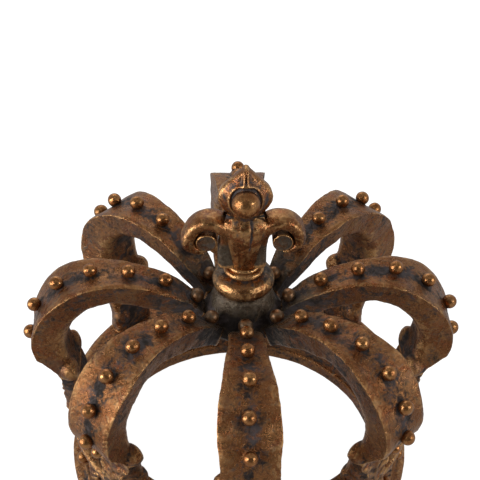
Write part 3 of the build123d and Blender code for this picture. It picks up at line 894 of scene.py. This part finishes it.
# Middle line of the right-hand side petal along its curl: x, height, thickness, half-width.
SCROLL = (
    (7.4, 154.5, 8.6, 6.4), (7.6, 161, 8.0, 6.0), (8.2, 168, 6.8, 6.0), (9.6, 175.5, 7.2, 7.2),
    (11.6, 181.2, 9.0, 8.0), (16.0, 184.6, 8.6, 8.0), (20.6, 185.4, 8.0, 7.4), (25.0, 184.2, 8.2, 7.1),
    (29.4, 179.8, 8.0, 6.9), (30.9, 174.0, 6.6, 6.7), (29.2, 168.8, 4.8, 6.4), (25.6, 166.2, 2.8, 6.1),
    (21.4, 165.7, 1.6, 5.8),
)
# Extra thickness of the shank on the left and right, and how square the section is (1 is round).
HEAVIER = {-1: 3.4, 1: 1.0}
SCROLL_POWER = 0.72


def build_scrolls():
    anchors = np.array(SCROLL)
    path = along(anchors, np.linspace(0, distances(anchors[:, :2])[-1], 130))
    path = np.stack([softened(column, 8) for column in path.T], 1)
    p, normal = path[:, :2], side_normals(path[:, :2])
    a = np.linspace(0, 2 * pi, 44, endpoint=False)
    cu = np.sign(np.cos(a)) * np.abs(np.cos(a)) ** SCROLL_POWER
    su = np.sign(np.sin(a)) * np.abs(np.sin(a)) ** SCROLL_POWER
    for side, name, node, seed in (
        (-1, "scroll_petal_left", "scroll_left", 31), (1, "scroll_petal_right", "scroll_right", 33),
    ):
        heavier = HEAVIER[side] * (1 - smooth(p[:, 1:2], 168, 180))
        out = 0.5 * (path[:, 2:3] + heavier) * su[None]
        x = p[:, 0:1] + 0.5 * heavier + normal[:, 0:1] * out
        z = p[:, 1:2] + normal[:, 1:2] * out
        rings = np.stack([side * x, -side * path[:, 3:4] * cu[None], z], -1)
        verts = capped_points(rings)
        t = np.broadcast_to(np.linspace(0, 1, len(p))[:, None], x.shape)
        t, out = capped_points(np.stack([t, out], -1)).T
        cloud = rough(verts, 8, seed, 3)
        grime_and_shade = 0.75 * bump(t, 0.36, 0.08) + 0.35 * (out < 0) * smooth(t, 0.5, 0.6) + 0.18 + 0.45 * cloud
        # Gold only on the front half of the curl, facing the camera: a painted highlight.
        rub_and_sheen = 0.16 * smooth(t, 0.55, 0.8) * smooth(-verts[:, 1], 0, 5) + 0.3 * cloud - 0.12 - 0.5 * (t < 0.3)
        green = 1.2 * (1 - smooth(t, 0.18, 0.36))
        # the flat ends of the roll are grey-green inside a gold rim
        roll = roll_end(side)
        flat = np.abs(roll[0][:, 1]) > 5.6
        rim = smooth(np.hypot(side * roll[0][:, 0] - ROLL_X, roll[0][:, 2] - ROLL_Z), 5.0, 5.6)
        grime_and_shade = np.concatenate([grime_and_shade, np.where(flat, 0.35 - 0.3 * rim, 0.5)])
        rub_and_sheen = np.concatenate([rub_and_sheen, np.where(flat, 0.9 * rim, 0.3)])
        green = np.concatenate([green, np.where(flat, 0.95 * (1 - rim), 0.0)])
        verts, faces = joined([(verts, ring_faces(*rings.shape[:2])), roll])
        piece(name, verts, faces, POLISHED, [node],
              paint={"grime_and_shade": np.clip(grime_and_shade, 0, 1.1), "rub_and_sheen": rub_and_sheen, "green": green},
              dents=0.22, pits=0.09, seed=seed)


def roll_end(side):
    """Short round bar inside the curl, with dished ends."""
    outline = [(0.02, -5.7), (4.6, -5.9), (5.4, -6.3), (5.8, -5.6), (5.8, 5.6), (5.4, 6.3), (4.6, 5.9),
               (0.02, 5.7), (0.02, 0)]
    q = loop(outline, step=0.35, rounds=1)
    a = np.linspace(0, 2 * pi, 60, endpoint=False)
    x = ROLL_X + np.outer(np.sin(a), q[:, 0])
    z = ROLL_Z + np.outer(np.cos(a), q[:, 0])
    p = np.stack([side * x, np.tile(q[:, 1], (60, 1)), z], -1)
    return p.reshape(-1, 3), ring_faces(60, len(q), closed=True)


# Half-width of the bud by height, and how far its faces dome out by share of its height.
BUD_HALF = (
    (184.5, 2.0), (187, 6.2), (190.5, 9.6), (195, 13.0), (199, 14.8), (202, 15.2), (205, 14.8), (208, 13.4),
    (211.5, 10.4), (216, 5.8), (219.5, 2.4), (221.5, 0.6),
)
BUD_DOME = ((0, 2.5), (0.15, 6.0), (0.4, 8.6), (0.62, 7.8), (0.85, 4.2), (1, 1.2))


def build_bud():
    """Pointed shield with a split ridge down each face and a hollow round the ball."""
    t = np.linspace(0.0, 1.0, 110)
    z = 184.5 + 37.0 * t
    half = np.maximum(softened(table_value(z, BUD_HALF), 4), 0.4)
    u = np.linspace(-1, 1, 61)
    around = np.concatenate([u, u[::-1][1:-1]])
    face = np.where(np.arange(len(around)) < len(u), -1, 1)
    v = half[:, None] * around[None]
    zz = np.broadcast_to(z[:, None], v.shape)
    across = np.abs(around)[None]
    y = 1.4 + table_value(t, BUD_DOME)[:, None] * (1 - across ** 1.6) ** 0.8
    to_ball = np.hypot(v, (zz - PEARL_Z) * 0.96)
    above = smooth(zz, 204, 212)
    ridge = 1.3 * bump(np.abs(v), 1.2, 0.8) * above * smooth(to_ball, 9.4, 11.0)
    split = 0.4 * bump(v, 0, 0.40) * smooth(zz, 213, 216)
    collar = 1.5 * bump(to_ball, 9.6, 0.9)
    hollow = 0.4 * bump(to_ball, 8.0, 0.4)
    flute = 0.6 * bump(np.abs(v) / np.maximum(half[:, None], 1), 0.45, 0.22) * above
    y = np.maximum(y + (ridge - split + collar - hollow - flute) * (1 - across ** 4), 0.12)
    points = np.stack([v, face[None] * y, zz], -1)
    verts = capped_points(points)
    to_ball, v, zz = capped_points(np.stack([to_ball, np.abs(v), zz], -1)).T
    cloud = rough(verts, 6, 21, 3)
    # The hollow round each ball is darkened by painted shade and grime; the bottom of the bud, where it sits
    # down among petals and curls, by painted shade.
    grime_and_shade = 0.5 * bump(to_ball, 7.9, 0.5) + 0.3 * bump(v, 0, 0.35) * smooth(zz, 213, 216)
    grime_and_shade = grime_and_shade + 0.60 + 0.45 * cloud + 0.4 * (1 - smooth(zz, 186, 192))
    rub_and_sheen = -0.25 + 0.75 * bump(v, 1.2, 0.6) * smooth(zz, 208, 213) + 0.15 * cloud
    rub_and_sheen = rub_and_sheen + 0.50 * bump(to_ball, 9.7, 0.8) * smooth(zz, 196, 206)
    piece("bud_shield", verts, ring_faces(*points.shape[:2]), POLISHED, ["bud"],
          paint={"grime_and_shade": np.clip(grime_and_shade, 0, 1.1), "rub_and_sheen": rub_and_sheen}, dents=0.22, pits=0.16, seed=20)

    parts, grime_and_shade = [], []
    for side in (-1, 1):
        points, faces = ball(PEARL_R, 40, 60)
        # Painted shade on the side of each ball that faces the bud and on its underside.
        foot = 1 - smooth(side * points[:, 1], -2.5, 2.6)
        grime_and_shade.append(0.75 * foot + 0.35 * (1 - smooth(points[:, 2], -6, -2)))
        parts.append((points + [0, side * PEARL_Y, PEARL_Z], faces))
    verts, faces = joined(parts)
    piece("bud_balls", verts, faces, BEAD, ["pearls"],
          paint={"grime_and_shade": np.concatenate(grime_and_shade) + 0.1}, dents=0.25, pits=0.12, seed=23)


for side_seed, (side_name, side_azimuth) in enumerate(SIDES, 3):
    build_strap("crown_" + side_name, "arch_" + side_name, START_AT, JOIN_AT + JOIN_OVERLAP,
                side_azimuth, 0.12, side_seed)
    build_arch_beads(side_name, side_azimuth, side_seed)
    build_strap("footing_" + side_name, "foot_" + side_name, JOIN_AT - JOIN_OVERLAP, END_AT,
                side_azimuth, 0.14, side_seed)
build_circlet()
build_bead_ring(*BAND_BEADS)
build_band_leaves()
build_bead_ring(*HEEL_BEADS)
build_hub()
build_collars()
build_petals()
build_scrolls()
build_bud()

for cad_node in ("finial_stem", "finial_stud", "hub_nut", "hub_washer"):
    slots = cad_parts[cad_node].data.materials
    slots.clear()
    slots.append(BRONZE if cad_node == "finial_stem" else ZINC)


# ---- stage, lights and camera ----------------------------------------
# Brightness of the room as the crown sees it: axis, where along it the change begins and ends, and
# the brightness there. The two are multiplied: less light from overhead and from the camera's side.
WORLD_RAMPS = (("Z", 0.1, 0.95, 0.40, 0.20), ("Y", -0.8, 0.6, 0.30, 1.6))
CROWN_MIDDLE = (0, 0, 0.12)
# Elevation, azimuth, distance and roll of the camera, its lens, and the point it looks at.
CAMERA_PLACE = (0.7003921, -0.0472375, 0.860612, 0.0226289)
LENS = 115.08
AIM_HEIGHT = 0.170
AIM_SHIFT = -0.00242
FLOOR_HALF = 3.0
FLOOR_DROP = 0.0005
FLOOR_GLOW = 0.28


def build_floor():
    """Pale floor: pure white to the camera, softer to the object."""
    h = FLOOR_HALF
    mesh = bpy.data.meshes.new("floor")
    mesh.from_pydata([(-h, -h, 0), (h, -h, 0), (h, h, 0), (-h, h, 0)], [], [(0, 1, 2, 3)])
    obj = bpy.data.objects.new("floor", mesh)
    bpy.context.scene.collection.objects.link(obj)
    material = bpy.data.materials.new("pale_floor")
    material.use_nodes = True
    tree = material.node_tree
    shader = tree.nodes["Principled BSDF"]
    fill(shader, {"Base Color": (0.30, 0.30, 0.30, 1), "Roughness": 0.9, "Specular IOR Level": 0.0,
                  "Emission Color": (1, 1, 1, 1)})
    seen = tree.nodes.new("ShaderNodeLightPath").outputs["Is Camera Ray"]
    glow = tree.nodes.new("ShaderNodeMapRange")
    fill(glow, {"To Min": FLOOR_GLOW, "To Max": 1.0})
    tree.links.new(seen, glow.inputs["Value"])
    tree.links.new(glow.outputs["Result"], shader.inputs["Emission Strength"])
    mesh.materials.append(material)
    obj.location.z = -FLOOR_DROP


def build_world():
    """Pure white to the camera; the object sees a room with the brightness above."""
    world = bpy.data.worlds.new("studio")
    world.use_nodes = True
    tree = world.node_tree
    add, link = tree.nodes.new, tree.links.new
    split = add("ShaderNodeSeparateXYZ")
    link(add("ShaderNodeTexCoord").outputs["Generated"], split.inputs[0])
    level = add("ShaderNodeMath")
    level.operation = "MULTIPLY"
    for k, (axis, start, end, first, last) in enumerate(WORLD_RAMPS):
        ramp = add("ShaderNodeMapRange")
        fill(ramp, {"From Min": start, "From Max": end, "To Min": first, "To Max": last})
        link(split.outputs[axis], ramp.inputs["Value"])
        link(ramp.outputs["Result"], level.inputs[k])
    larger = add("ShaderNodeMath")
    larger.operation = "MAXIMUM"
    link(level.outputs[0], larger.inputs[0])
    link(add("ShaderNodeLightPath").outputs["Is Camera Ray"], larger.inputs[1])
    background = tree.nodes["Background"]
    fill(background, {"Color": (1, 1, 1, 1)})
    link(larger.outputs[0], background.inputs["Strength"])
    bpy.context.scene.world = world


def area_light(name, place, size, power):
    """A rectangular light that faces the middle of the crown."""
    data = bpy.data.lights.new(name, "AREA")
    data.shape = "RECTANGLE"
    data.size, data.size_y = size
    data.energy = power
    obj = bpy.data.objects.new(name, data)
    obj.location = place
    obj.rotation_euler = (Vector(CROWN_MIDDLE) - Vector(place)).to_track_quat("-Z", "Y").to_euler()
    bpy.context.scene.collection.objects.link(obj)


def build_camera():
    """Camera above the front, looking 40 degrees down at the finial."""
    elevation, azimuth, distance, roll = CAMERA_PLACE
    back = Vector((sin(azimuth) * cos(elevation), -cos(azimuth) * cos(elevation), sin(elevation)))
    right = (-back).cross(Vector((0, 0, 1))).normalized()
    up = right.cross(-back)
    target = Vector((0, 0, AIM_HEIGHT)) + right * AIM_SHIFT
    turned_right = right * cos(roll) + up * sin(roll)
    turned_up = -right * sin(roll) + up * cos(roll)
    data = bpy.data.cameras.new("camera")
    data.lens = LENS
    data.sensor_width = 36
    data.clip_start = 0.01
    obj = bpy.data.objects.new("camera", data)
    rotation = Matrix((turned_right, turned_up, back)).transposed()
    obj.matrix_world = Matrix.Translation(target + back * distance) @ rotation.to_4x4()
    bpy.context.scene.collection.objects.link(obj)
    bpy.context.scene.camera = obj


build_floor()
build_world()
area_light("key_left", (-1.0, -0.56, 0.59), (0.40, 0.45), 5.2)
area_light("low_left", (-1.05, -0.25, 0.20), (0.5, 0.35), 3.6)
area_light("key_right", (1.0, -0.56, 0.59), (0.40, 0.45), 3.9)
area_light("behind", (-0.15, 1.1, 0.95), (0.9, 0.5), 2.4)
area_light("top", (0.0, -0.3, 1.5), (0.7, 0.7), 0.7)
bpy.context.scene.view_settings.view_transform = "Standard"
build_camera()
